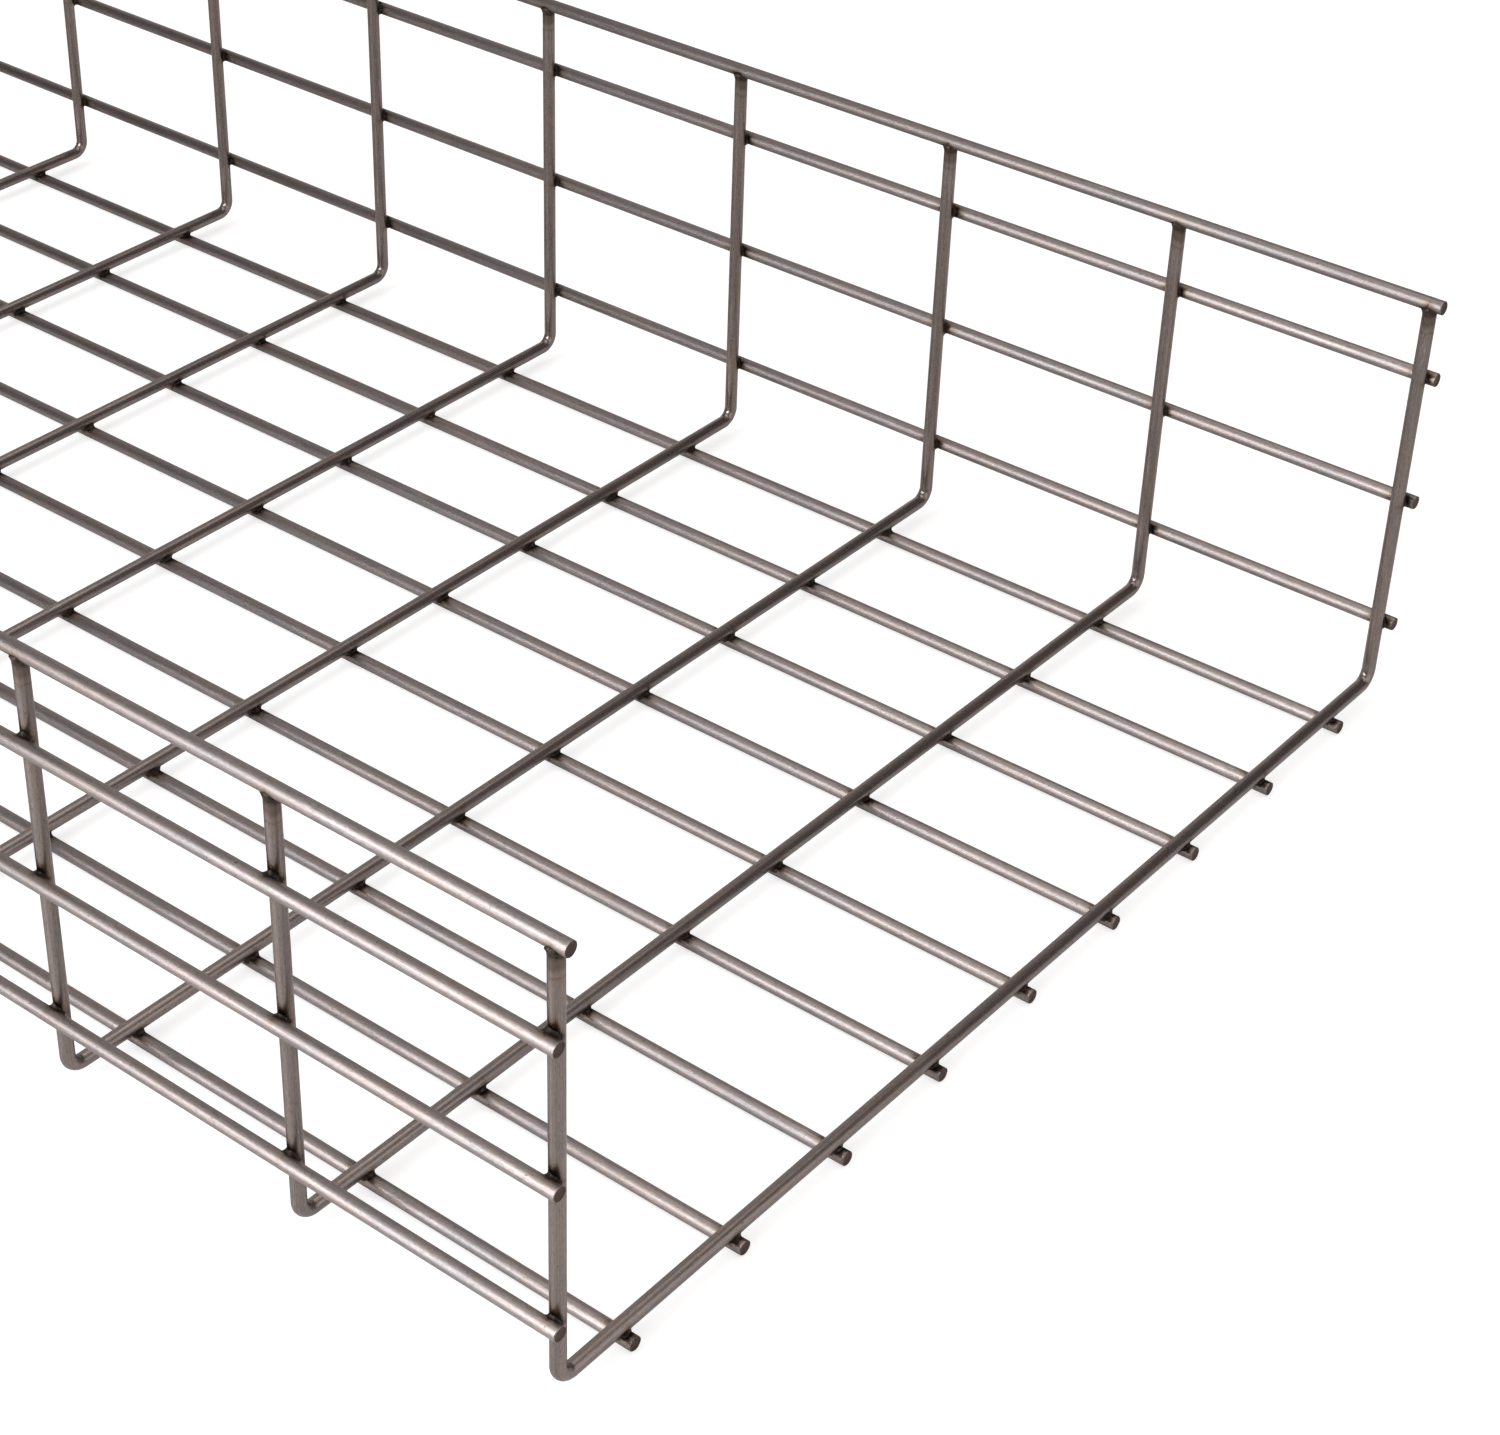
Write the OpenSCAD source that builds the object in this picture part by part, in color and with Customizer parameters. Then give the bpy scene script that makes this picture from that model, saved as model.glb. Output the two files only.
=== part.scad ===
// Wire mesh cable basket.
// Straight long wires are welded under the floor runs and outside the legs of
// U-shaped cross wires, and one more long wire closes each row of leg ends.
// X runs along the basket, Y across it and Z up. The origin is at the middle
// of the basket, on the level that its floor wires rest on. Sizes are in mm.

/* [Basket] */
// Clear width between the two legs of a cross wire
clear_width = 450; // [420:5:600]
// Clear depth from the cross wires' floor runs up to the top wires
clear_depth = 150; // [150:5:200]
// Number of mesh bays along the basket
bay_count = 30; // [2:1:38]
// Length of long wire from the last cross wire's axis to its cut end
end_overhang = 5; // [5:1:50]

/* [Wire] */
// Diameter of every wire
wire_d = 5; // [4:0.5:6]
// Inside radius of a cross wire's two bends
bend_inside_r = 3; // [2:0.5:6]

/* [Mesh] */
// Spacing of the cross wires along the basket
cross_pitch = 100; // [50:5:120]
// Spacing of the long wires across the floor
floor_pitch = 50; // [40:1:60]
// Height of a lower side wire's axis above the base
side_lower_h = 31.5; // [25:0.5:45]
// Height of a middle side wire's axis above the base
side_middle_h = 83; // [65:0.5:95]
// Height of an upper side wire's axis above the base
side_upper_h = 132.5; // [115:0.5:140]

/* [Welds] */
// Depth to which a cross wire is set down on each long wire it crosses
cross_set = 0.3; // [0.1:0.1:0.5]
// Depth to which a top wire is set down on the end of each leg
leg_set = 0.8; // [0.3:0.1:1]

/* [Hidden] */
$fn = 48;
wire_r = wire_d / 2;
wire_colour = [0.50, 0.46, 0.45];

// Along the basket
cross_count = bay_count + 1;
basket_length = bay_count * cross_pitch + 2 * end_overhang;
saddle_length = 2 * wire_d;

// Heights of the wires' axes
floor_axis_z = wire_r;
cross_axis_z = floor_axis_z + wire_d - cross_set;
top_axis_z = cross_axis_z + wire_r + clear_depth + wire_r;
leg_end_z = top_axis_z - wire_r + leg_set;
side_heights = [side_lower_h, side_middle_h, side_upper_h];

// Across the basket
leg_axis_y = clear_width / 2 + wire_r;
side_axis_y = leg_axis_y + wire_d - cross_set;
bend_r = bend_inside_r + wire_r;
flat_half = leg_axis_y - bend_r;
floor_each_side = floor((flat_half - wire_r) / floor_pitch);
floor_count = 2 * floor_each_side + 1;

sides = ["left", "right"];
levels = ["lower", "middle", "upper"];

// +1 on the left, seen along +X, and -1 on the right
function side_sign(side) = side == "left" ? 1 : -1;
function floor_y(i) = (i - 1 - floor_each_side) * floor_pitch;
function cross_x(k) = (k - 1 - bay_count / 2) * cross_pitch;
function two_digits(n) = str(n < 10 ? "0" : "", n);

function floor_name(i) = str("floor_wire_", i);
function side_name(side, level) = str("side_wire_", side, "_", level);
function top_name(side) = str("top_wire_", side);
function cross_name(k) = str("cross_wire_", two_digits(k));

// A straight piece of wire along X, centred on the basket's middle
module wire_along_x(y, z, length) {
    translate([-length / 2, y, z])
        rotate([0, 90, 0])
            cylinder(d = wire_d, h = length);
}

// Every long wire of the basket, cut to one length
module all_long_wires(length) {
    for (i = [1:floor_count])
        wire_along_x(floor_y(i), floor_axis_z, length);
    for (side = sides) {
        for (height = side_heights)
            wire_along_x(side_sign(side) * side_axis_y, height, length);
        wire_along_x(side_sign(side) * leg_axis_y, top_axis_z, length);
    }
}

// The straight run of a cross wire over the floor wires
module floor_run() {
    translate([0, flat_half, cross_axis_z])
        rotate([90, 0, 0])
            cylinder(d = wire_d, h = 2 * flat_half);
}

// The quarter turn from the floor run up into the left leg
module bend() {
    translate([0, flat_half, cross_axis_z + bend_r])
        rotate([90, 0, 90])
            rotate(-90)
                rotate_extrude(angle = 90)
                    translate([bend_r, 0])
                        circle(d = wire_d);
}

// The left leg, from the bend up to the top wire
module leg() {
    leg_start_z = cross_axis_z + bend_r;
    translate([0, leg_axis_y, leg_start_z])
        cylinder(d = wire_d, h = leg_end_z - leg_start_z);
}

module floor_wire(i) {
    color(wire_colour)
        wire_along_x(floor_y(i), floor_axis_z, basket_length);
}

module side_wire(side, height) {
    color(wire_colour)
        wire_along_x(side_sign(side) * side_axis_y, height, basket_length);
}

module top_wire(side) {
    color(wire_colour)
        wire_along_x(side_sign(side) * leg_axis_y, top_axis_z, basket_length);
}

// A U of bent wire, with a shallow saddle where it is welded to each long wire
module cross_wire(k) {
    color(wire_colour)
        translate([cross_x(k), 0, 0])
            difference() {
                union() {
                    floor_run();
                    for (side = sides)
                        scale([1, side_sign(side), 1]) {
                            bend();
                            leg();
                        }
                }
                all_long_wires(saddle_length);
            }
}

for (i = [1:floor_count])
    floor_wire(i);

for (side = sides, j = [0:len(levels) - 1])
    side_wire(side, side_heights[j]);

for (side = sides)
    top_wire(side);

for (k = [1:cross_count])
    cross_wire(k);
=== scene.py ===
"""Looks of a welded wire mesh cable basket: drawn steel wires, weld nuggets, studio, camera.

Every wire of the CAD frame is replaced by a finer one on the same axis. Lengths are metres.
"""

import math
import random

import bpy
import numpy as np
from mathutils import Matrix, Vector, noise


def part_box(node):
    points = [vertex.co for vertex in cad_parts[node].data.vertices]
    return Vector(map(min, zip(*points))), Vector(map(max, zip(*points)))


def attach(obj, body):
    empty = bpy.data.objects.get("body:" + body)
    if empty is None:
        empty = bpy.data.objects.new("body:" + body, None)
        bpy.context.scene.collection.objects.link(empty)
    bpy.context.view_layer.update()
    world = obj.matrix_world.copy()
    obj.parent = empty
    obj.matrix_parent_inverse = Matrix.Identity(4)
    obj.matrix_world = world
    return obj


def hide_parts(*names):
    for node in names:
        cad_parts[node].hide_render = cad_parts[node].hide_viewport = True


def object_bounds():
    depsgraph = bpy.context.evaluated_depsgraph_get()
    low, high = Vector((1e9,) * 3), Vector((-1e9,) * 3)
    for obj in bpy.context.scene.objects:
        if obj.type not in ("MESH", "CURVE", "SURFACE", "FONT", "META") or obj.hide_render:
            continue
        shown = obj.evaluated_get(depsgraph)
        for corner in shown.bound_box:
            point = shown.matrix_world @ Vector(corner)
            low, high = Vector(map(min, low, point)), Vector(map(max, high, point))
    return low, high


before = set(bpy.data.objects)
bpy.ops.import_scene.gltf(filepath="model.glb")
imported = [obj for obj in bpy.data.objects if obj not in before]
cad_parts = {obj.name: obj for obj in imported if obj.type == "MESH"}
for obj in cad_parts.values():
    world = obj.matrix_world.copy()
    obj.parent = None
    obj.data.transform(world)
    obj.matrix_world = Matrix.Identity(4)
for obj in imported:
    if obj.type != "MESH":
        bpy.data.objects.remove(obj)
cad_low, cad_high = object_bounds()
rng = random.Random(7)

UP = Vector((0, 0, 1))
ALONG_X = Vector((1, 0, 0))
ALONG_Y = Vector((0, 1, 0))

# ---------------------------------------------------------------- places, from the CAD frame

WIRE_R = 0.0025
BEND_INSIDE_R = 0.003
BEND_R = BEND_INSIDE_R + WIRE_R
CROSS_SET = 0.0003  # depth of the saddle where a long wire is pressed into a cross wire


def tenth_mm(value):
    """The CAD mesh's corners lie a hair inside its circles, so places are rounded to 0.1 mm."""
    return round(value, 4)


def node_centre(name):
    low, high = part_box(name)
    return Vector([tenth_mm((a + b) / 2) for a, b in zip(low, high)])


names = sorted(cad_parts)
floor_names = [n for n in names if n.startswith("floor_wire_")]
side_names = [n for n in names if n.startswith("side_wire_")]
top_names = [n for n in names if n.startswith("top_wire_")]
cross_names = [n for n in names if n.startswith("cross_wire_")]

cross_low, cross_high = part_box(cross_names[0])
LEG_Y = tenth_mm(cross_high.y) - WIRE_R
CROSS_Z = tenth_mm(cross_low.z) + WIRE_R
LEG_END_Z = tenth_mm(cross_high.z)
FLAT_HALF = LEG_Y - BEND_R
LEG_START_Z = CROSS_Z + BEND_R

cross_xs = [node_centre(n).x for n in cross_names]
floor_ys = sorted(node_centre(n).y for n in floor_names)
side_zs = sorted({node_centre(n).z for n in side_names})
TOP_Z = node_centre(top_names[0]).z
SIDE_Y = abs(node_centre(side_names[0]).y)
FLOOR_Z = node_centre(floor_names[0]).z

# ---------------------------------------------------------------- mesh helpers

PATTERN_SHIFT = 50.0  # a wire's or weld's texture is shifted by up to this much
NOISE_SEEDS = 100.0
UNEVEN_PACE = 1.3  # how fast a rim's unevenness changes round it
FAR_AWAY = 1.0  # counts as the distance to a weld where there is none
SMALLEST_STEP = 0.0001  # between two rings of a wire


def mesh_object(name, verts, faces, attributes):
    """A smooth-shaded object with per-vertex vector attributes."""
    mesh = bpy.data.meshes.new(name)
    mesh.from_pydata([tuple(v) for v in verts], [], faces)
    for key, values in attributes.items():
        layer = mesh.attributes.new(key, "FLOAT_VECTOR", "POINT")
        layer.data.foreach_set("vector", np.asarray(values, np.float32).ravel())
    mesh.polygons.foreach_set("use_smooth", [True] * len(mesh.polygons))
    mesh.update()
    piece = bpy.data.objects.new(name, mesh)
    bpy.context.scene.collection.objects.link(piece)
    return piece


def band(first, sides):
    """The quads between the ring whose corners start at number first and the ring after it."""
    quads = []
    for i in range(sides):
        j = (i + 1) % sides
        quads.append((first + i, first + j, first + sides + j, first + sides + i))
    return quads


def ring_stations(welds, extra, start, end):
    """Arc lengths of a wire's rings: its welds, the middles between them and some extra ones."""
    middles = [(a + b) / 2 for a, b in zip(welds, welds[1:])]
    stations = sorted(s for s in [*welds, *middles, *extra] if start < s < end)
    kept = [start]
    for s in stations:
        if s - kept[-1] > SMALLEST_STEP:
            kept.append(s)
    kept.append(end)
    return kept


def uneven(angle, seed, size):
    """A smooth uneven factor about 1, round a weld or a cut edge."""
    at = Vector((math.cos(angle) * UNEVEN_PACE, math.sin(angle) * UNEVEN_PACE, seed))
    return 1 + size * noise.noise(at)


def nearest(s, places):
    return min([FAR_AWAY] + [abs(s - place) for place in places])


# ---------------------------------------------------------------- wire meshes

WIRE_SIDES = 32
BEND_RINGS = 26

CUT_BEVEL = 0.00024  # usual size of the rolled edge
CUT_ROLL_MAX = 0.0009  # the plain part of a wire starts this far from its end
CUT_DISH = 0.00012  # depth of the middle of a cut face
CUT_LEAN = 0.75  # how much more the edge is rolled on its low side
CUT_UNEVEN = 0.5
CUT_ROLL_LEAST = 0.15

# Rings of a cut end, from the wire inward. On the edge: depth and inset in shares of the roll,
# and how much of the cut's colour shows. On the face: depth in dishes, radius in wire radii.
EDGE_RINGS = [
    (1.0, 0.0, 0.0),
    (0.55, 0.12, 0.0),
    (0.22, 0.42, 0.3),
    (0.0, 1.0, 1.0),
    (0.0, 1.6, 1.0),
]
FACE_RINGS = [(0.5, 0.55), (1.0, 0.22)]


def plain_surface(_s, _angle):
    """An undented place of a wire: its radius, how deep it is pitted, its shift along the wire."""
    return WIRE_R, 0.0, 0.0


class Wire:
    """Rings of one round wire, gathered one after the other and closed by two cut ends.

    welds and tees are the arc lengths of its crossings and of its ends under a top wire. The
    vertex attributes are wire_co (place along the wire, then round it from the welded side),
    marks (distance to a crossing, distance to a tee, share of cut face), wear (pit, share of a
    warmer tint that grows as a cross wire turns upright, distance to an end), wire_dir (the
    wire's direction) and tone (a factor on its colour).
    """

    def __init__(self, length, welds, tees, tone=1.0):
        self.shift = rng.uniform(0, PATTERN_SHIFT)
        self.tone = tone
        self.length = length
        self.welds = welds
        self.tees = tees
        self.verts = []
        self.faces = []
        self.wire_co = []
        self.marks = []
        self.wear = []
        self.wire_dir = []
        self.rings = 0

    def ring(self, s, centre, along, weld_side, surface=plain_surface, cut=0.0, warmth=0.0):
        """One ring. weld_side is the unit vector from the axis to the side that is welded."""
        across = along.cross(weld_side)
        mark = (nearest(s, self.welds), nearest(s, self.tees), cut)
        to_end = min(abs(s), abs(self.length - s))
        for i in range(WIRE_SIDES):
            angle = 2 * math.pi * i / WIRE_SIDES
            c, d = math.cos(angle), math.sin(angle)
            r, pit, shift = surface(s, angle)
            self.verts.append(centre + shift * along + r * (c * weld_side + d * across))
            self.wire_co.append((s + self.shift, c * r / WIRE_R, d * r / WIRE_R))
            self.marks.append(mark)
            self.wear.append((pit, warmth, to_end))
            self.wire_dir.append(along)
        if self.rings:
            self.faces += band((self.rings - 1) * WIRE_SIDES, WIRE_SIDES)
        self.rings += 1

    def cut_end(self, s, centre, along, weld_side, outward):
        """The rings of a sheared end: an uneven rolled edge, then a face that is a little dished.

        outward is 1 where the end looks along the wire and -1 where it looks back.
        """
        seed = rng.uniform(0, NOISE_SEEDS)
        low_side = rng.uniform(0, 2 * math.pi)

        def roll(angle):
            lean = 1 + CUT_LEAN * math.cos(angle - low_side)
            return CUT_BEVEL * (lean * uneven(angle, seed, CUT_UNEVEN) + CUT_ROLL_LEAST)

        def edge_surface(depth, inset):
            def surface(_s, angle):
                return WIRE_R - inset * roll(angle), 0.0, -outward * depth * roll(angle)

            return surface

        def face_surface(depth, radius):
            def surface(_s, _angle):
                return radius * WIRE_R, 0.0, -outward * depth * CUT_DISH

            return surface

        rings = [(edge_surface(depth, inset), cut) for depth, inset, cut in EDGE_RINGS]
        rings += [(face_surface(depth, radius), 1.0) for depth, radius in FACE_RINGS]
        if outward < 0:
            rings.reverse()
        for surface, cut in rings:
            self.ring(s, centre, along, weld_side, surface, cut)

    def build(self, name):
        """Close both ends and make the object."""
        last = (self.rings - 1) * WIRE_SIDES
        self.faces.append(tuple(reversed(range(WIRE_SIDES))))
        self.faces.append(tuple(range(last, last + WIRE_SIDES)))
        attributes = {
            "wire_co": self.wire_co,
            "marks": self.marks,
            "wear": self.wear,
            "wire_dir": self.wire_dir,
            "tone": [(self.tone, self.tone, self.tone)] * len(self.verts),
        }
        return mesh_object(name, self.verts, self.faces, attributes)


def long_wire(name, centre, weld_side, tone=1.0):
    """A straight wire along X, welded on one side where each cross wire meets it."""
    length = cad_high.x - cad_low.x
    welds = [x - cad_low.x for x in cross_xs]
    wire = Wire(length, welds, [], tone)
    start = Vector((cad_low.x, centre.y, centre.z))
    wire.cut_end(0.0, start, ALONG_X, weld_side, -1)
    for s in ring_stations(welds, [], CUT_ROLL_MAX, length - CUT_ROLL_MAX):
        wire.ring(s, start + ALONG_X * s, ALONG_X, weld_side)
    wire.cut_end(length, start + ALONG_X * length, ALONG_X, weld_side, 1)
    return wire.build(name)


class CrossPath:
    """A cross wire's U-shaped axis in the YZ plane, by arc length from its right leg's end."""

    def __init__(self, x):
        self.x = x
        self.leg = LEG_END_Z - LEG_START_Z
        self.bend = BEND_R * math.pi / 2
        self.flat = 2 * FLAT_HALF
        self.length = 2 * (self.leg + self.bend) + self.flat

    def at(self, s):
        """(point, direction, outward side) at arc length s."""
        half = self.length / 2
        sign = 1 if s > half else -1
        t = abs(s - half)
        if t <= FLAT_HALF:
            y, z, turn = t, CROSS_Z, 0.0
        elif t <= FLAT_HALF + self.bend:
            turn = (t - FLAT_HALF) / BEND_R
            y = FLAT_HALF + BEND_R * math.sin(turn)
            z = CROSS_Z + BEND_R * (1 - math.cos(turn))
        else:
            turn = math.pi / 2
            y, z = LEG_Y, LEG_START_Z + t - FLAT_HALF - self.bend
        point = Vector((self.x, sign * y, z))
        along = Vector((0, math.cos(turn), sign * math.sin(turn)))
        outward = Vector((0, sign * math.sin(turn), -math.cos(turn)))
        return point, along, outward

    def at_floor(self, y):
        return self.length / 2 + y

    def at_leg(self, sign, z):
        return self.length / 2 + sign * (FLAT_HALF + self.bend + z - LEG_START_Z)

    def at_bend(self, sign, turn):
        return self.length / 2 + sign * (FLAT_HALF + BEND_R * turn)


TOOL_MARK_TURNS = (0.12 * math.pi, 0.38 * math.pi)  # where they are in a bend's quarter turn
TOOL_MARK_R = 0.0009
TOOL_MARK_DEPTH = 0.00012
TOOL_MARK_SPREAD = 0.18  # radians off the middle of a bend's inside

# How much of a warmer tint a cross wire's colour takes, on its floor run and on its legs.
FLOOR_RUN_WARMTH = 0.4
LEG_WARMTH = 1.0


def tool_marks(path):
    """A surface dented on the inside of both bends, where the bending pin pressed on it."""
    centres = [path.at_bend(sign, turn) for sign in (-1, 1) for turn in TOOL_MARK_TURNS]
    turned = [rng.uniform(-TOOL_MARK_SPREAD, TOOL_MARK_SPREAD) for _ in centres]

    def surface(s, angle):
        deepest = 0.0
        for centre, off_middle in zip(centres, turned):
            around = (angle - math.pi - off_middle) * WIRE_R
            gap = math.hypot(s - centre, around)
            deepest = max(deepest, 1 - gap / TOOL_MARK_R)
        return WIRE_R - TOOL_MARK_DEPTH * deepest, deepest, 0.0

    return surface


def cross_wire(name, x):
    """A wire bent to a U, with its ends welded under the top wires."""
    path = CrossPath(x)
    crossings = [path.at_floor(y) for y in floor_ys]
    crossings += [path.at_leg(sign, z) for sign in (-1, 1) for z in side_zs]
    crossings.sort()
    wire = Wire(path.length, crossings, [0.0, path.length])
    surface = tool_marks(path)
    turns = [math.pi / 2 * i / BEND_RINGS for i in range(BEND_RINGS + 1)]
    bend_rings = [path.at_bend(sign, turn) for sign in (-1, 1) for turn in turns]
    wire.cut_end(0.0, *path.at(0.0), -1)
    for s in ring_stations(crossings, bend_rings, CUT_ROLL_MAX, path.length - CUT_ROLL_MAX):
        point, along, outward = path.at(s)
        # The warmer tint grows from the floor run's share to the legs' share as the wire turns
        # upright.
        warmth = FLOOR_RUN_WARMTH + (LEG_WARMTH - FLOOR_RUN_WARMTH) * abs(along.z)
        wire.ring(s, point, along, outward, surface, warmth=warmth)
    wire.cut_end(path.length, *path.at(path.length), 1)
    return wire.build(name)


# ---------------------------------------------------------------- weld meshes

NUGGET_SIDES = 28
NUGGET_ROWS = 6
NUGGET_R = 0.0023
NUGGET_SIZES = (0.92, 1.12)  # smallest and largest nugget, in usual sizes
NUGGET_STRETCH = 0.35  # a nugget reaches this much further along each wire
NUGGET_UNEVEN = 0.35
NUGGET_SINK = 0.00012  # how deep a nugget's rim lies inside the wires
NUGGET_WIDEST = 0.93 * WIRE_R  # a rim reaches at most this far to a wire's side
LEAST_SINE = 0.3  # that limit leaves out the directions along the wire
WAIST = 0.86  # a nugget's middle, in shares of its rim
WAIST_UNEVEN = 0.22
WAIST_PACE = 2
RIM_B_SEED = 9
WAIST_SEED = 20

COLLAR_HEIGHT = 0.0019
COLLAR_SWELL = 0.00062
COLLAR_SWELL_POWER = 2.2
COLLAR_UNEVEN = 0.9
COLLAR_SINK = 0.4 * NUGGET_SINK
COLLAR_RISE = 0.55  # how far the collar follows the top wire's round underside
COLLAR_WIDEST = 0.97 * WIRE_R
COLLAR_ROWS = 6


class Welds:
    """Many welds gathered in one mesh. wire_co is a vertex's place, moved by a shift per weld."""

    def __init__(self):
        self.verts = []
        self.faces = []
        self.wire_co = []

    def loft(self, rows, low_cap, high_cap):
        """Closed skin over rows of points that all go round the same way."""
        first = len(self.verts)
        shift = rng.uniform(0, PATTERN_SHIFT)
        n = len(rows[0])
        for points in rows:
            self.verts += points
        self.verts += [low_cap, high_cap]
        self.wire_co += [(v.x + shift, v.y, v.z) for v in self.verts[first:]]
        for row in range(len(rows) - 1):
            self.faces += band(first + row * n, n)
        low, high = first + len(rows) * n, first + len(rows) * n + 1
        top = first + (len(rows) - 1) * n
        for i in range(n):
            j = (i + 1) % n
            self.faces.append((first + j, first + i, low))
            self.faces.append((top + i, top + j, high))

    def build(self, name):
        return mesh_object(name, self.verts, self.faces, {"wire_co": self.wire_co})


def crossing_nugget(welds, contact, along_a, along_b, towards_b):
    """The squeezed-out metal where wire a and wire b are pressed together."""
    seed = rng.uniform(0, NOISE_SEEDS)
    size = NUGGET_R * rng.uniform(*NUGGET_SIZES)
    axis_gap = WIRE_R - CROSS_SET / 2
    rows = [[] for _ in range(NUGGET_ROWS + 1)]
    for i in range(NUGGET_SIDES):
        angle = 2 * math.pi * i / NUGGET_SIDES
        c, s = math.cos(angle), math.sin(angle)
        r_a = size * (1 + NUGGET_STRETCH * c * c) * uneven(angle, seed, NUGGET_UNEVEN)
        r_b = size * (1 + NUGGET_STRETCH * s * s) * uneven(angle, seed + RIM_B_SEED, NUGGET_UNEVEN)
        r_a = min(r_a, NUGGET_WIDEST / max(abs(s), LEAST_SINE))
        r_b = min(r_b, NUGGET_WIDEST / max(abs(c), LEAST_SINE))
        h_a = -axis_gap + math.sqrt(WIRE_R**2 - (r_a * s) ** 2) - NUGGET_SINK
        h_b = axis_gap - math.sqrt(WIRE_R**2 - (r_b * c) ** 2) + NUGGET_SINK
        lump = noise.noise(Vector((c * WAIST_PACE, s * WAIST_PACE, seed + WAIST_SEED)))
        r_c = min(r_a, r_b) * (WAIST + WAIST_UNEVEN * lump)
        h_c = (h_a + h_b) / 2
        for row in range(NUGGET_ROWS + 1):
            t = row / NUGGET_ROWS
            k_a, k_c, k_b = (1 - t) ** 2, 2 * t * (1 - t), t * t
            r = k_a * r_a + k_c * r_c + k_b * r_b
            h = k_a * h_a + k_c * h_c + k_b * h_b
            rows[row].append(contact + r * (c * along_a + s * along_b) + h * towards_b)
    welds.loft(rows, contact - towards_b * WIRE_R / 2, contact + towards_b * WIRE_R / 2)


def leg_collar(welds, x, sign):
    """The fillet round the end of a leg, up to the underside of the top wire."""
    seed = rng.uniform(0, NOISE_SEEDS)
    under = TOP_Z - WIRE_R
    rows = []
    for row in range(COLLAR_ROWS + 1):
        up = row / COLLAR_ROWS
        points = []
        for i in range(NUGGET_SIDES):
            angle = 2 * math.pi * i / NUGGET_SIDES
            c, s = math.cos(angle), math.sin(angle)
            swell = COLLAR_SWELL * up**COLLAR_SWELL_POWER * uneven(angle, seed, COLLAR_UNEVEN)
            r = WIRE_R - COLLAR_SINK * (1 - up) + swell
            inside = min(abs(r * s), COLLAR_WIDEST)
            rise = COLLAR_RISE * (WIRE_R - math.sqrt(WIRE_R**2 - inside**2))
            z = under - COLLAR_HEIGHT * (1 - up) + (rise + NUGGET_SINK) * up
            points.append(Vector((x + r * c, sign * LEG_Y + r * s, z)))
        rows.append(points)
    low_cap = Vector((x, sign * LEG_Y, under - COLLAR_HEIGHT - NUGGET_SINK))
    welds.loft(rows, low_cap, Vector((x, sign * LEG_Y, TOP_Z)))


# ---------------------------------------------------------------- node helpers

# Numbers of a Mix node's sockets for colours, whose names it has more than once.
MIX_A = 6
MIX_B = 7
MIX_RESULT = 2


def colour(r, g, b):
    return (r, g, b, 1.0)


def grey(value):
    return colour(value, value, value)


BLACK = grey(0.0)
WHITE = grey(1.0)


class Nodes:
    """Short calls for building a node tree. A value is a socket to link or a plain value."""

    def __init__(self, tree):
        self.tree = tree
        tree.nodes.clear()

    def add(self, kind, inputs=None, **settings):
        node = self.tree.nodes.new(kind)
        for key, value in settings.items():
            setattr(node, key, value)
        for key, value in (inputs or {}).items():
            self.feed(node.inputs[key], value)
        return node

    def feed(self, socket, value):
        if isinstance(value, bpy.types.NodeSocket):
            self.tree.links.new(value, socket)
        else:
            socket.default_value = value

    def math(self, operation, a, b=0.0):
        return self.add("ShaderNodeMath", {0: a, 1: b}, operation=operation).outputs[0]

    def plus(self, a, b):
        return self.math("ADD", a, b)

    def minus(self, a, b):
        return self.math("SUBTRACT", a, b)

    def times(self, a, b):
        return self.math("MULTIPLY", a, b)

    def larger(self, a, b):
        return self.math("MAXIMUM", a, b)

    def vector(self, operation, a, b=(0.0, 0.0, 0.0), output="Vector"):
        node = self.add("ShaderNodeVectorMath", {0: a, 1: b}, operation=operation)
        return node.outputs[output]

    def split(self, vector):
        """The x, y and z of a vector."""
        return tuple(self.add("ShaderNodeSeparateXYZ", {0: vector}).outputs)

    def attribute(self, name, output="Vector"):
        return self.add("ShaderNodeAttribute", attribute_name=name).outputs[output]

    def noise(self, vector, scale, detail, roughness):
        node = self.add(
            "ShaderNodeTexNoise",
            {"Vector": vector, "Scale": scale, "Detail": detail, "Roughness": roughness},
        )
        return node.outputs["Fac"]

    def ramp(self, value, stops):
        """A smooth ramp. stops are (position, colour), where a plain number is a grey."""
        node = self.add("ShaderNodeValToRGB", {"Fac": value})
        node.color_ramp.interpolation = "EASE"
        elements = node.color_ramp.elements
        while len(elements) < len(stops):
            elements.new(0.5)
        for element, (position, shade) in zip(elements, stops):
            element.position = position
            element.color = shade if isinstance(shade, tuple) else grey(shade)
        return node.outputs["Color"]

    def mix(self, factor, a, b, blend="MIX"):
        node = self.add("ShaderNodeMix", data_type="RGBA", blend_type=blend)
        self.feed(node.inputs["Factor"], factor)
        self.feed(node.inputs[MIX_A], a)
        self.feed(node.inputs[MIX_B], b)
        return node.outputs[MIX_RESULT]

    def tint(self, a, b):
        """Colour a multiplied by colour b."""
        return self.mix(1.0, a, b, "MULTIPLY")

    def range(self, value, from_min, from_max, to_min=0.0, to_max=1.0):
        """A smooth step from to_min to to_max."""
        inputs = {
            "Value": value,
            "From Min": from_min,
            "From Max": from_max,
            "To Min": to_min,
            "To Max": to_max,
        }
        node = self.add("ShaderNodeMapRange", inputs, interpolation_type="SMOOTHSTEP")
        return node.outputs[0]

    def bump(self, height, strength, distance):
        inputs = {"Height": height, "Strength": strength, "Distance": distance}
        return self.add("ShaderNodeBump", inputs).outputs[0]


def node_material(name):
    """A new material and the calls that build its node tree."""
    material = bpy.data.materials.new(name)
    material.use_nodes = True
    return material, Nodes(material.node_tree)


# ---------------------------------------------------------------- steel and weld materials

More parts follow.
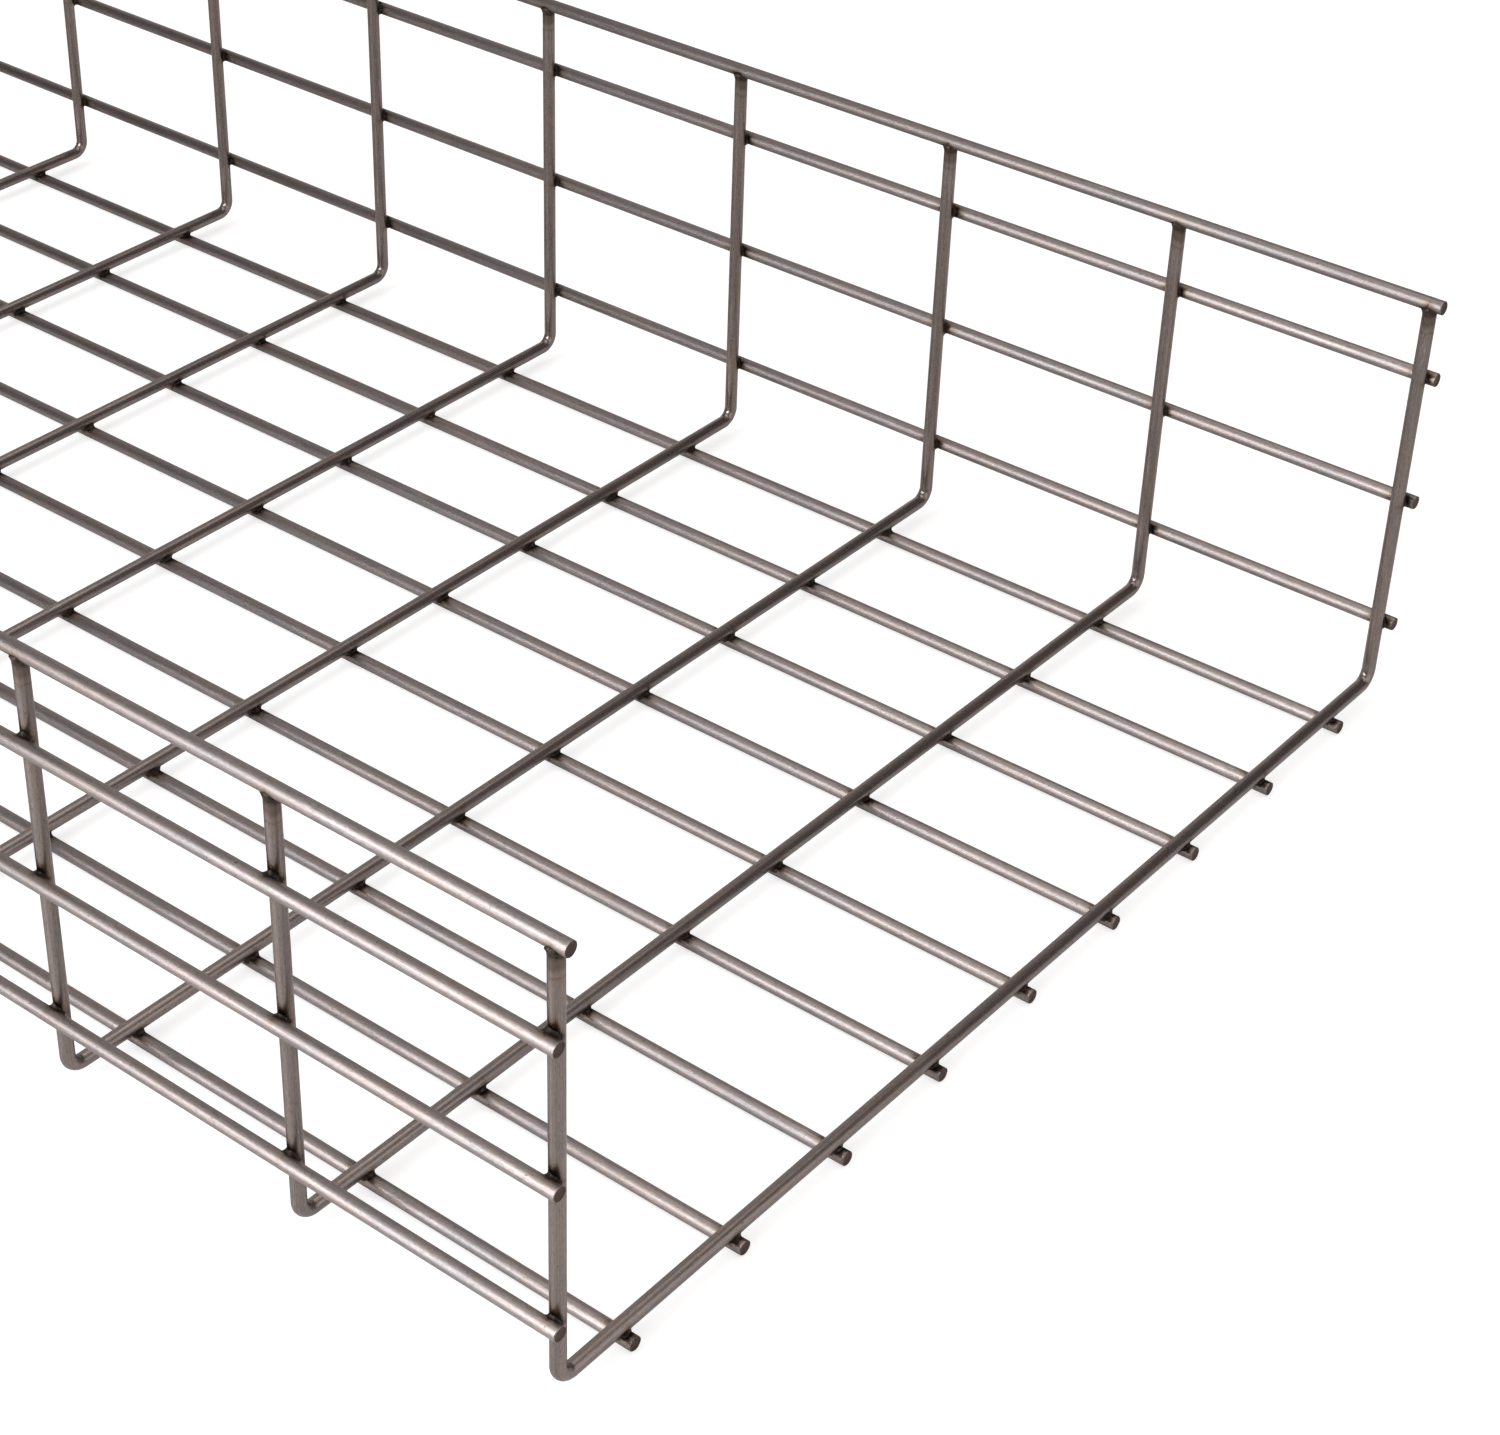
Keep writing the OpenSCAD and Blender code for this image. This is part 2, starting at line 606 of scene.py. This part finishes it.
STEEL = colour(0.290, 0.251, 0.243)
STEEL_WARM = colour(0.305, 0.252, 0.235)
STEEL_COOL = colour(0.262, 0.238, 0.235)
SCUFF = colour(0.56, 0.51, 0.49)
# A warmer tint on the cross wires, most on their legs.
CROSS_WIRE_WARMTH = colour(1.01, 0.965, 0.920)
STRAW = colour(0.235, 0.170, 0.120)
BROWN = colour(0.110, 0.078, 0.062)
SCALE_BLACK = colour(0.020, 0.015, 0.013)
SCALE_BROWN = colour(0.040, 0.030, 0.025)
COLLAR_DARK = colour(0.035, 0.026, 0.022)
COLLAR_BROWN = colour(0.075, 0.054, 0.044)
CUT_FACE = colour(0.110, 0.068, 0.055)
CUT_TORN = colour(0.055, 0.034, 0.028)

# Noise patterns on a wire: scale along it, scale round it, detail, roughness.
LINES = (13.0, 8.0, 5.0, 0.62)
FINE_LINES = (22.0, 34.0, 3.0, 0.6)
BLOTCHES = (38.0, 0.7, 3.0, 0.6)
SPECKS = (900.0, 2.3, 2.0, 0.5)
SKIN = (700.0, 4.5, 3.0, 0.65)
PATCHES = (24.0, 0.5, 2.0, 0.5)
SCRATCHES = (330.0, 22.0, 2.0, 0.6)

# Colours and shades over the noise value of a pattern.
BLOTCH_TONES = [(0.36, STEEL_COOL), (0.5, STEEL), (0.66, STEEL_WARM)]
LINE_SHADES = [(0.30, 0.76), (0.44, 0.98), (0.58, 1.02), (0.72, 1.16)]
FINE_SHADES = [(0.3, 0.84), (0.5, 1.0), (0.72, 1.14)]
SKIN_SHADES = [(0.3, 0.82), (0.5, 1.0), (0.7, 1.16)]

# Scuffs show where a patch and a scratch meet. More patches count near the ends, from the
# first distance in HANDLED on, and most at its second.
HANDLED = (0.045, 0.010, 0.0, 0.16)
SCUFF_PATCH = (0.62, 0.70)
SCUFF_SCRATCH = (0.52, 0.62)
SCUFF_STRENGTH = 0.55
DARK_SPECK = (0.69, 0.75)
DARK_SPECK_STRENGTH = 0.55

# Weld tint: distances from the weld where it starts and where it is full, then its strengths.
CROSSING_STRAW = (0.0100, 0.0050, 0.0, 0.45)
CROSSING_BROWN = (0.0068, 0.0040, 0.0, 0.70)
CROSSING_BLACK = (0.0048, 0.0028, 0.0, 0.92)
TEE_STRAW = (0.0150, 0.0060, 0.0, 0.35)
TEE_BROWN = (0.0072, 0.0050, 0.0, 0.62)
TEE_BLACK = (0.0034, 0.0015, 0.0, 0.50)
TEE_LINE_AT = 0.0084
TEE_LINE = (0.0007, 0.0001, 0.0, 0.35)  # its distances are from the line's place
CROSSING_TINT_TURN = 0.0042  # a weld counts as this much further away a quarter turn round
TINT_RAGGED = 0.010
TINT_GRAINY = 0.004
TEE_RAGGED = 0.35  # share of that unevenness at a tee

# Black over the depth of a pit, and lighter steel over the skin pattern of a cut face.
PIT_BLACK = (0.05, 0.75, 0.0, 0.92)
CUT_TEAR = (0.40, 0.56)
CUT_STRENGTH = 0.94

# Roughness over the line pattern, what is taken off and added, and the heights of the bump.
LINE_ROUGH = (0.3, 0.7, 0.42, 0.32)
BENT_GLOSS = 0.11  # a cross wire is this much less rough than a long wire
BLACK_ROUGH = 0.20
CUT_ROUGH = 0.10
ANISOTROPY = 0.74
QUARTER_TURN = 0.25
LINE_HEIGHT = 0.6
FINE_HEIGHT = 0.4
SKIN_HEIGHT = 0.5
STEEL_BUMP = (0.45, 0.00008)  # strength and distance

# Noise patterns on a weld: scale, detail, roughness. Then what is made of them.
WELD_LUMP = (900.0, 3.0, 0.6)
WELD_GRAIN = (4200.0, 3.0, 0.6)
WELD_ROUGH = (0.3, 0.7, 0.38, 0.62)
WELD_METALLIC = 0.85
WELD_GRAIN_HEIGHT = 0.4
WELD_BUMP = (0.6, 0.00025)  # strength and distance


def steel_colour(n, pattern, lines, fine, skin, blotch, speck, warmth, to_end):
    """The wire's colour away from welds and cuts."""
    tone = n.ramp(blotch, BLOTCH_TONES)
    tone = n.mix(warmth, tone, n.tint(tone, CROSS_WIRE_WARMTH))
    steel = n.tint(tone, n.attribute("tone", "Color"))
    for texture, shades in ((lines, LINE_SHADES), (fine, FINE_SHADES), (skin, SKIN_SHADES)):
        steel = n.tint(steel, n.ramp(texture, shades))
    handled = n.range(to_end, *HANDLED)
    patch = n.range(n.plus(pattern(*PATCHES), handled), *SCUFF_PATCH)
    scuff = n.times(patch, n.range(pattern(*SCRATCHES), *SCUFF_SCRATCH))
    steel = n.mix(n.times(scuff, SCUFF_STRENGTH), steel, SCUFF)
    dark_speck = n.range(speck, *DARK_SPECK)
    return n.mix(n.times(dark_speck, DARK_SPECK_STRENGTH), steel, SCALE_BLACK)


def weld_tint(n, steel, crossing, tee, facing, blotch, speck):
    """Straw, brown and black tint by the welds over the steel, and the black's strength.

    By a crossing it is on the welded side. Below a tee it goes all round, with a line beyond.
    """
    ragged = n.times(n.minus(blotch, 0.5), TINT_RAGGED)
    grain = n.times(n.minus(speck, 0.5), TINT_GRAINY)
    uneven_edge = n.plus(ragged, grain)
    turned_away = n.times(n.minus(1.0, facing), CROSSING_TINT_TURN)
    reach = n.plus(n.plus(crossing, uneven_edge), turned_away)
    tee_reach = n.plus(tee, n.times(uneven_edge, TEE_RAGGED))
    black = n.range(reach, *CROSSING_BLACK)
    tee_line = n.range(n.math("ABSOLUTE", n.minus(tee_reach, TEE_LINE_AT)), *TEE_LINE)
    tee_brown = n.larger(n.range(tee_reach, *TEE_BROWN), tee_line)
    tee_straw = n.range(tee_reach, *TEE_STRAW)
    tinted = n.mix(n.larger(n.range(reach, *CROSSING_STRAW), tee_straw), steel, STRAW)
    tinted = n.mix(n.larger(n.range(reach, *CROSSING_BROWN), tee_brown), tinted, BROWN)
    tinted = n.mix(n.larger(black, n.range(tee_reach, *TEE_BLACK)), tinted, SCALE_BLACK)
    return tinted, black


def wire_material():
    """Bare drawn steel: lines along the wire, blotches, weld tint, pits and torn cut faces."""
    material, n = node_material("drawn_steel_wire")
    wire_co = n.attribute("wire_co")
    facing = n.split(wire_co)[1]
    crossing, tee, cut = n.split(n.attribute("marks"))
    pit, warmth, to_end = n.split(n.attribute("wear"))

    def pattern(along, around, detail, roughness):
        """Noise with its own scale along the wire, and no seam round it."""
        stretched = n.vector("MULTIPLY", wire_co, (along, around, around))
        return n.noise(stretched, 1.0, detail, roughness)

    lines = pattern(*LINES)
    fine = pattern(*FINE_LINES)
    blotch = pattern(*BLOTCHES)
    speck = pattern(*SPECKS)
    skin = pattern(*SKIN)

    steel = steel_colour(n, pattern, lines, fine, skin, blotch, speck, warmth, to_end)
    tinted, black = weld_tint(n, steel, crossing, tee, facing, blotch, speck)
    tinted = n.mix(n.range(pit, *PIT_BLACK), tinted, SCALE_BLACK)
    torn = n.mix(n.range(skin, *CUT_TEAR), CUT_TORN, CUT_FACE)
    finished = n.mix(n.times(cut, CUT_STRENGTH), tinted, torn)

    rough = n.range(lines, *LINE_ROUGH)
    rough = n.minus(rough, n.range(warmth, 0.0, FLOOR_RUN_WARMTH, 0.0, BENT_GLOSS))
    rough = n.plus(rough, n.times(black, BLACK_ROUGH))
    rough = n.plus(rough, n.times(cut, CUT_ROUGH))

    height = n.plus(n.times(lines, LINE_HEIGHT), n.times(fine, FINE_HEIGHT))
    height = n.plus(height, n.times(skin, SKIN_HEIGHT))
    inputs = {
        "Base Color": finished,
        "Metallic": 1.0,
        "Roughness": rough,
        "Anisotropic": ANISOTROPY,
        "Anisotropic Rotation": QUARTER_TURN,
        "Tangent": n.attribute("wire_dir"),
        "Normal": n.bump(height, *STEEL_BUMP),
    }
    shader = n.add("ShaderNodeBsdfPrincipled", inputs)
    n.add("ShaderNodeOutputMaterial", {"Surface": shader.outputs[0]})
    return material


def weld_material(name, dark, middle, light):
    """Welding scale: a dark uneven skin with a few lighter places."""
    material, n = node_material(name)
    wire_co = n.attribute("wire_co")
    lump = n.noise(wire_co, *WELD_LUMP)
    grain = n.noise(wire_co, *WELD_GRAIN)
    height = n.plus(lump, n.times(grain, WELD_GRAIN_HEIGHT))
    inputs = {
        "Base Color": n.ramp(lump, [(0.35, dark), (0.55, middle), (0.75, light)]),
        "Metallic": WELD_METALLIC,
        "Roughness": n.range(grain, *WELD_ROUGH),
        "Normal": n.bump(height, *WELD_BUMP),
    }
    shader = n.add("ShaderNodeBsdfPrincipled", inputs)
    n.add("ShaderNodeOutputMaterial", {"Surface": shader.outputs[0]})
    return material


# ---------------------------------------------------------------- build the basket

FAR_TOP_TONE = 0.84  # the top wire on the left is darker than the rest


def finish_piece(piece, material, *replaced):
    """Give a piece its material and body, and hide the CAD nodes that it stands for."""
    piece.data.materials.append(material)
    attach(piece, "root")
    if replaced:
        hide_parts(*replaced)


def build_wires():
    steel = wire_material()
    for name in floor_names:
        finish_piece(long_wire("steel_" + name, node_centre(name), UP), steel, name)
    for name in side_names:
        centre = node_centre(name)
        inward = Vector((0, -1 if centre.y > 0 else 1, 0))
        finish_piece(long_wire("steel_" + name, centre, inward), steel, name)
    for name in top_names:
        centre = node_centre(name)
        tone = FAR_TOP_TONE if centre.y > 0 else 1.0
        finish_piece(long_wire("steel_" + name, centre, -UP, tone), steel, name)
    for name, x in zip(cross_names, cross_xs):
        finish_piece(cross_wire("steel_" + name, x), steel, name)


def build_welds():
    floor_welds = Welds()
    side_welds = Welds()
    top_welds = Welds()
    for x in cross_xs:
        for y in floor_ys:
            contact = Vector((x, y, FLOOR_Z + WIRE_R - CROSS_SET / 2))
            crossing_nugget(floor_welds, contact, ALONG_X, ALONG_Y, UP)
        for sign in (-1, 1):
            for z in side_zs:
                contact = Vector((x, sign * (SIDE_Y - WIRE_R + CROSS_SET / 2), z))
                crossing_nugget(side_welds, contact, ALONG_X, sign * UP, Vector((0, -sign, 0)))
            leg_collar(top_welds, x, sign)
    crossing_scale = weld_material("weld_scale", SCALE_BLACK, SCALE_BROWN, BROWN)
    collar_scale = weld_material("collar_scale", COLLAR_DARK, COLLAR_BROWN, BROWN)
    finish_piece(floor_welds.build("floor_welds"), crossing_scale)
    finish_piece(side_welds.build("side_welds"), crossing_scale)
    finish_piece(top_welds.build("top_welds"), collar_scale)


build_wires()
build_welds()

# ---------------------------------------------------------------- studio

CUT_END = Vector((cad_high.x, 0, cad_low.z))  # the foot of the end that the camera looks at

FLOOR_SIZE = 400.0
FLOOR_PAINT = grey(0.57)
FLOOR_PAINT_FAR = grey(0.3)
FLOOR_LIFT = 0.66  # glow of the near floor for the camera; 1 is white
MIRRORED_LIFT = 0.10
FLOOR_SHEEN = grey(0.105)
FLOOR_SHEEN_ROUGHNESS = 0.45
TABLE_MARGIN = 0.35  # the near floor reaches this far past the basket's sides
FLOOR_FADE = 0.55  # and turns to the far floor over this distance

# Strengths of the walls, the paler wall, the ceiling and the skylight, and where they are.
WORLD_BASE = 0.16
WORLD_PANEL = 0.44
WORLD_CEILING = 1.22
WORLD_SKYLIGHT = 0.45
PANEL_AZIMUTH = -58
SKYLIGHT_TOWARD = (-18, 66)
WALL_TINT = colour(1.0, 0.95, 0.92)

# Where each part of the world fades in and is full: the cosine of the angle to its middle.
PANEL_EDGES = (0.50, 0.95)
CEILING_EDGES = (0.74, 0.93)
SKYLIGHT_EDGES = (0.93, 0.985)

# Softboxes: centre from the cut end's foot, width and height, radiance and tint.
KEY_FROM_END = Vector((-0.72, -1.40, 0.78))
KEY_SIZE = (1.10, 1.40)
KEY_RADIANCE = 5.7
KEY_TINT = (0.97, 1.0, 1.02)
REFLECTOR_FROM_END = Vector((0.70, -0.04, 0.38))
REFLECTOR_SIZE = (1.12, 0.76)
REFLECTOR_RADIANCE = 0.9
REFLECTOR_TINT = (1.0, 1.0, 1.0)


def floor_material():
    """Pale floor that reads as white to the eye and keeps the shadow, with a sheen for the metal.

    Far from the basket it is darker to the lamps and plain white to the camera.
    """
    material, n = node_material("pale_floor")
    across = n.vector("ABSOLUTE", n.add("ShaderNodeNewGeometry").outputs["Position"])
    near_corner = (cad_high.x, cad_high.y + TABLE_MARGIN, 1)
    outside = n.vector("MAXIMUM", n.vector("SUBTRACT", across, near_corner))
    far = n.range(n.vector("LENGTH", outside, output="Value"), 0.0, FLOOR_FADE)
    path = n.add("ShaderNodeLightPath").outputs
    to_camera = path["Is Camera Ray"]
    mirrored = n.larger(path["Is Glossy Ray"], path["Is Transmission Ray"])
    camera_lift = n.range(far, 0.0, 1.0, FLOOR_LIFT, 1.0)
    lift = n.plus(n.times(to_camera, camera_lift), n.times(mirrored, MIRRORED_LIFT))
    paint = n.add("ShaderNodeBsdfDiffuse", {"Color": n.mix(far, FLOOR_PAINT, FLOOR_PAINT_FAR)})
    sheen = n.mix(to_camera, FLOOR_SHEEN, BLACK)
    satin = n.add("ShaderNodeBsdfGlossy", {"Color": sheen, "Roughness": FLOOR_SHEEN_ROUGHNESS})
    surface = n.add("ShaderNodeAddShader", {0: paint.outputs[0], 1: satin.outputs[0]})
    glow = n.add("ShaderNodeEmission", {"Color": WHITE, "Strength": lift})
    total = n.add("ShaderNodeAddShader", {0: surface.outputs[0], 1: glow.outputs[0]})
    n.add("ShaderNodeOutputMaterial", {"Surface": total.outputs[0]})
    return material


def make_floor():
    half = FLOOR_SIZE / 2
    z = cad_low.z
    corners = [(-half, -half, z), (half, -half, z), (half, half, z), (-half, half, z)]
    mesh = bpy.data.meshes.new("studio_floor")
    mesh.from_pydata(corners, [], [(0, 1, 2, 3)])
    floor = bpy.data.objects.new("studio_floor", mesh)
    floor.data.materials.append(floor_material())
    bpy.context.scene.collection.objects.link(floor)


def toward(azimuth, elevation):
    """Unit vector; azimuth 0 is +Y, 90 is +X, and 180 is -Y."""
    a, e = math.radians(azimuth), math.radians(elevation)
    return Vector((math.sin(a) * math.cos(e), math.cos(a) * math.cos(e), math.sin(e)))


def softbox(name, from_end, azimuth, size, radiance, tint):
    """A rectangular soft light that stands towards azimuth and shines back from there.

    from_end is its centre from the cut end's foot, and size is its width and height.
    """
    width, height = size
    light = bpy.data.lights.new(name, "AREA")
    light.shape = "RECTANGLE"
    light.size, light.size_y = width, height
    light.energy = radiance * math.pi * width * height
    light.color = tint
    lamp = bpy.data.objects.new(name, light)
    back = toward(azimuth, 0)
    side = UP.cross(back).normalized()
    turn = Matrix((side, back.cross(side), back)).transposed()
    lamp.matrix_world = Matrix.Translation(CUT_END + from_end) @ turn.to_4x4()
    lamp.visible_camera = False
    bpy.context.scene.collection.objects.link(lamp)


def studio_world():
    """Dim studio walls, a paler wall at the back left, and a pale ceiling with a skylight."""
    world = bpy.data.worlds.new("studio_world")
    world.use_nodes = True
    bpy.context.scene.world = world
    n = Nodes(world.node_tree)
    direction = n.add("ShaderNodeTexCoord").outputs["Generated"]

    def nearness(place):
        return n.vector("DOT_PRODUCT", direction, place, "Value")

    panel = n.range(nearness(toward(PANEL_AZIMUTH, 0)), *PANEL_EDGES, 0.0, WORLD_PANEL)
    ceiling_top = WORLD_BASE + WORLD_CEILING
    ceiling = n.range(n.split(direction)[2], *CEILING_EDGES, WORLD_BASE, ceiling_top)
    above = nearness(toward(*SKYLIGHT_TOWARD))
    skylight = n.range(above, *SKYLIGHT_EDGES, 0.0, WORLD_SKYLIGHT)
    strength = n.plus(n.plus(panel, skylight), ceiling)
    to_camera = n.add("ShaderNodeLightPath").outputs["Is Camera Ray"]
    inputs = {
        "Color": n.mix(to_camera, WALL_TINT, WHITE),
        "Strength": n.larger(to_camera, strength),
    }
    background = n.add("ShaderNodeBackground", inputs)
    n.add("ShaderNodeOutputWorld", {"Surface": background.outputs[0]})


make_floor()
studio_world()
softbox("key_softbox", KEY_FROM_END, 180, KEY_SIZE, KEY_RADIANCE, KEY_TINT)
softbox(
    "side_reflector", REFLECTOR_FROM_END, 90, REFLECTOR_SIZE, REFLECTOR_RADIANCE, REFLECTOR_TINT
)

# ---------------------------------------------------------------- camera

CAMERA_FROM_END = Vector((0.397017, -0.686957, 0.653983))
CAMERA_AZIMUTH = math.radians(38.5600)
CAMERA_ELEVATION = math.radians(34.4798)
CAMERA_ROLL = math.radians(1.2327)
CAMERA_LENS = 75.497
CAMERA_SENSOR = 36.0
CAMERA_SHIFT = (0.05063, -0.01060)
CAMERA_CLIP = (0.01, 200.0)


def make_camera():
    """Looks down on the cut end of the basket, from its right side."""
    data = bpy.data.cameras.new("camera")
    data.sensor_width = CAMERA_SENSOR
    data.lens = CAMERA_LENS
    data.shift_x, data.shift_y = CAMERA_SHIFT
    data.clip_start, data.clip_end = CAMERA_CLIP
    camera = bpy.data.objects.new("camera", data)
    side, front = math.sin(CAMERA_AZIMUTH), math.cos(CAMERA_AZIMUTH)
    level = math.cos(CAMERA_ELEVATION)
    back = Vector((side * level, -front * level, math.sin(CAMERA_ELEVATION)))
    right = Vector((front, side, 0))
    up = back.cross(right)
    c, s = math.cos(CAMERA_ROLL), math.sin(CAMERA_ROLL)
    turn = Matrix((c * right + s * up, c * up - s * right, back)).transposed()
    camera.matrix_world = Matrix.Translation(CUT_END + CAMERA_FROM_END) @ turn.to_4x4()
    bpy.context.scene.collection.objects.link(camera)
    bpy.context.scene.camera = camera


make_camera()
bpy.context.scene.view_settings.view_transform = "Standard"
